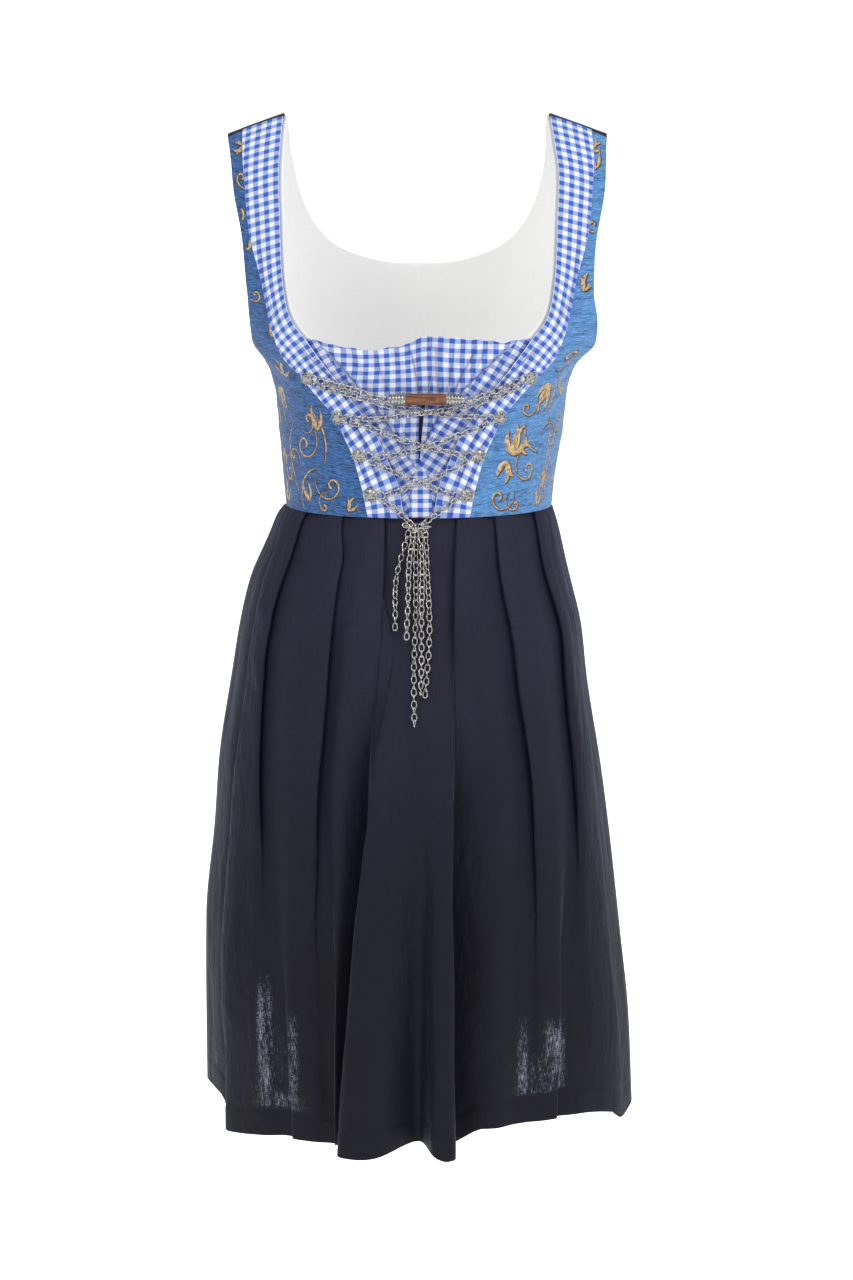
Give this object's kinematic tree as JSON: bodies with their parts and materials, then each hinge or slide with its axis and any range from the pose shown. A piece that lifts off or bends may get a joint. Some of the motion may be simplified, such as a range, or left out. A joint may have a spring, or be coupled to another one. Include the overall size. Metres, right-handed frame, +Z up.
{
  "type": "dirndl",
  "caption": "Sleeveless laced dirndl in its worn form: patterned fronts with a gingham band and gathered insert, chain lacing, plain back and pleated knee-length skirt.",
  "frame": {"origin": "midway between the inner ends of the two shoulder seams, where the wearer's shoulders hold the dress up", "axes": "+Z up, -Y towards the front of the dress, +X towards the viewer's right when seen from the front"},
  "size_m": [0.4352, 0.3368, 1.0247],
  "materials": {
    "brocade": "slubby blue woven cloth with gold scroll motifs",
    "gingham": "royal blue and white gingham cotton",
    "lining": "plain cream lining",
    "navy_cloth": "matt navy cotton with a faint sheen",
    "silver": "antiqued silver-coloured metal",
    "horn": "polished brown wood or horn"
  },
  "bodies": {
    "root": {"front_panel_left": "brocade", "front_panel_right": "brocade", "collar_band_left": "gingham", "collar_band_right": "gingham", "lining_front_left": "lining", "lining_front_right": "lining", "insert_left": "gingham", "insert_right": "gingham", "centre_strip": "gingham", "zip_tape": "navy_cloth", "back_bodice": "navy_cloth", "lining_back": "lining", "skirt_front": "navy_cloth", "skirt_back": "navy_cloth", "hook_left_1": "silver", "hook_left_2": "silver", "hook_left_3": "silver", "hook_left_4": "silver", "hook_right_1": "silver", "hook_right_2": "silver", "hook_right_3": "silver", "hook_right_4": "silver", "chain_run_1": "silver", "chain_run_2": "silver", "chain_run_3": "silver", "chain_run_4": "silver", "chain_run_5": "silver", "chain_run_6": "silver", "chain_run_7": "silver", "chain_run_8": "silver", "chain_run_9": "silver", "chain_run_10": "silver", "bar": "horn", "cap_left": "silver", "cap_right": "silver", "chain_tassel": "silver"}
  },
  "joints": []
}
